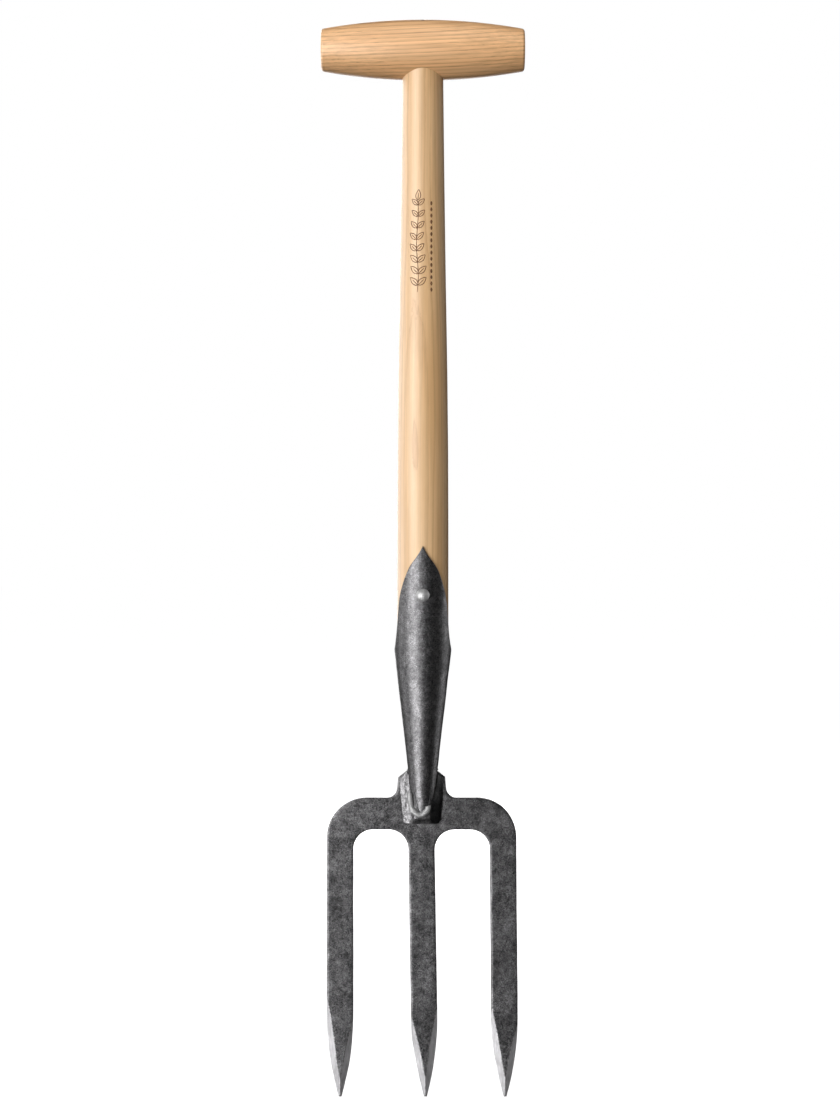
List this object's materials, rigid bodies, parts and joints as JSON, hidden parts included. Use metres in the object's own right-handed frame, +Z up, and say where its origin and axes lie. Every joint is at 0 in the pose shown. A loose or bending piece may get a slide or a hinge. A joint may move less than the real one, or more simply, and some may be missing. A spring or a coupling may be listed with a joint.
{
  "type": "digging fork",
  "caption": "Digging fork with forged flat tines, a riveted strap socket, an ash shaft and a T-shaped grip, for loosening and turning soil.",
  "frame": {"origin": "on the shaft's axis, level with the tine tips", "axes": "+Z up the shaft from the tine tips to the grip, -Y towards the front, the side with the socket's pointed tongue, and +X along the grip"},
  "size_m": [0.1564, 0.0483, 0.83],
  "materials": {
    "grip_wood": "turned ash, warm tan, fine close grain along the grip, thin clear lacquer",
    "wedge_wood": "darker hardwood wedge, dressed flush and lacquered",
    "shaft_wood": "turned ash, pale, long straight grain, thin clear lacquer",
    "blackened_steel": "forged carbon steel with dark oiled scale, speckled and scuffed, ground bright at the points",
    "weld_metal": "rough weld bead, brushed",
    "bright_steel": "plain bright steel"
  },
  "bodies": {
    "root": {"t_grip": "grip_wood", "grip_wedge": "wedge_wood", "grip_pin": "bright_steel", "shaft": "shaft_wood", "socket": "blackened_steel", "socket_rivet": "bright_steel", "rivet_washer": "bright_steel", "fork_head": "blackened_steel", "neck_block": "blackened_steel", "front_weld": "weld_metal", "back_weld": "weld_metal"}
  },
  "joints": []
}
